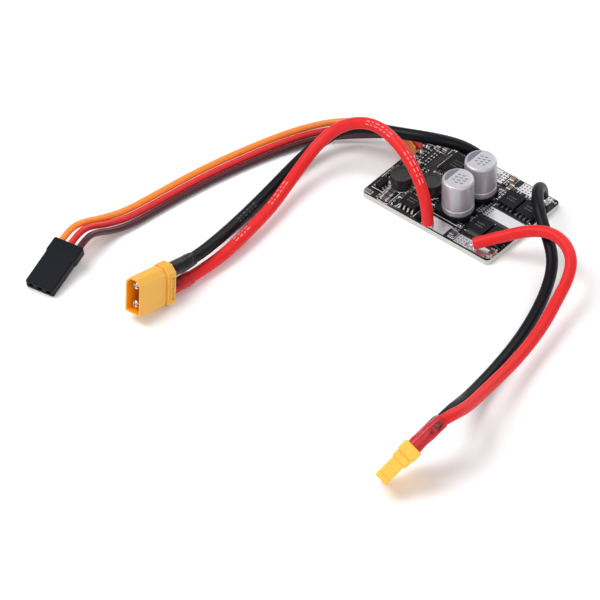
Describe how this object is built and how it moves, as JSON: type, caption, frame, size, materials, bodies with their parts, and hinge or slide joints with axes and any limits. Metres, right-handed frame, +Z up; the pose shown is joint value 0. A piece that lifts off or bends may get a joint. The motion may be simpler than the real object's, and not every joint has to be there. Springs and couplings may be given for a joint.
{
  "type": "electronic speed controller",
  "caption": "Bare-board brushed motor speed controller with two can capacitors, a pinned battery lead, a socketed motor lead and a three-wire receiver lead.",
  "frame": {"origin": "middle of the board's underside, on the surface it rests on", "axes": "+X along the board's long side towards the motor end, +Y across it towards the negative pads, +Z up out of the component side"},
  "size_m": [0.1229, 0.1088, 0.0181],
  "materials": {
    "board_laminate": "glossy black solder mask on glass laminate",
    "tinned_copper": "bright solder finish",
    "can_aluminium": "drawn aluminium can",
    "moulded_black_nylon": "moulded, satin",
    "seal_rubber": "moulded",
    "wound_foil": "wound foil and paper",
    "ferrite": "sintered, dull",
    "enamelled_copper": "enamelled wire",
    "chip_epoxy": "moulded epoxy, fine matte",
    "ceramic_brown": "fired ceramic",
    "resistor_black": "glazed",
    "clear_resin": "clear moulded resin",
    "red_silicone": "silicone rubber wire cover",
    "black_silicone": "silicone rubber wire cover",
    "orange_vinyl": "extruded vinyl",
    "red_vinyl": "extruded vinyl",
    "brown_vinyl": "extruded vinyl",
    "red_shrink_sleeve": "heat-shrunk sleeve",
    "black_shrink_sleeve": "heat-shrunk sleeve",
    "yellow_nylon": "moulded nylon",
    "bright_brass": "plated brass",
    "black_plug_plastic": "moulded"
  },
  "bodies": {
    "root": {"bare_strands": "tinned_copper", "battery_negative_pad": "tinned_copper", "battery_negative_sleeve": "black_shrink_sleeve", "battery_negative_wire": "black_silicone", "battery_plug_housing": "yellow_nylon", "battery_plug_pins": "bright_brass", "battery_positive_pad": "tinned_copper", "battery_positive_sleeve": "red_shrink_sleeve", "battery_positive_wire": "red_silicone", "ceramic_capacitor_ends": "tinned_copper", "ceramic_capacitors": "ceramic_brown", "circuit_board": "board_laminate", "current_bar": "tinned_copper", "front_capacitor_base": "moulded_black_nylon", "front_capacitor_can": "can_aluminium", "front_capacitor_element": "wound_foil", "front_capacitor_seal": "seal_rubber", "front_capacitor_terminals": "tinned_copper", "front_inductor_core": "ferrite", "front_inductor_winding": "enamelled_copper", "front_left_mosfet": "chip_epoxy", "front_right_mosfet": "chip_epoxy", "gate_driver": "chip_epoxy", "gate_driver_leads": "tinned_copper", "microcontroller": "chip_epoxy", "microcontroller_leads": "tinned_copper", "mosfet_drain_tabs": "tinned_copper", "mosfet_leads": "tinned_copper", "motor_negative_pad": "tinned_copper", "motor_negative_sleeve": "black_shrink_sleeve", "motor_negative_wire": "black_silicone", "motor_positive_pad": "tinned_copper", "motor_positive_sleeve": "red_shrink_sleeve", "motor_positive_wire": "red_silicone", "motor_socket_contacts": "bright_brass", "motor_socket_housing": "yellow_nylon", "rear_capacitor_base": "moulded_black_nylon", "rear_capacitor_can": "can_aluminium", "rear_capacitor_element": "wound_foil", "rear_capacitor_seal": "seal_rubber", "rear_capacitor_terminals": "tinned_copper", "rear_inductor_core": "ferrite", "rear_inductor_winding": "enamelled_copper", "rear_left_mosfet": "chip_epoxy", "rear_right_mosfet": "chip_epoxy", "resistor_ends": "tinned_copper", "resistors": "resistor_black", "servo_ground_wire": "brown_vinyl", "servo_pads": "tinned_copper", "servo_plug_contacts": "bright_brass", "servo_plug_housing": "black_plug_plastic", "servo_power_wire": "red_vinyl", "servo_signal_wire": "orange_vinyl", "solder_joints": "tinned_copper", "status_led": "clear_resin", "transistor_leads": "tinned_copper", "transistors": "chip_epoxy", "voltage_regulator": "chip_epoxy", "voltage_regulator_leads": "tinned_copper"}
  },
  "joints": []
}
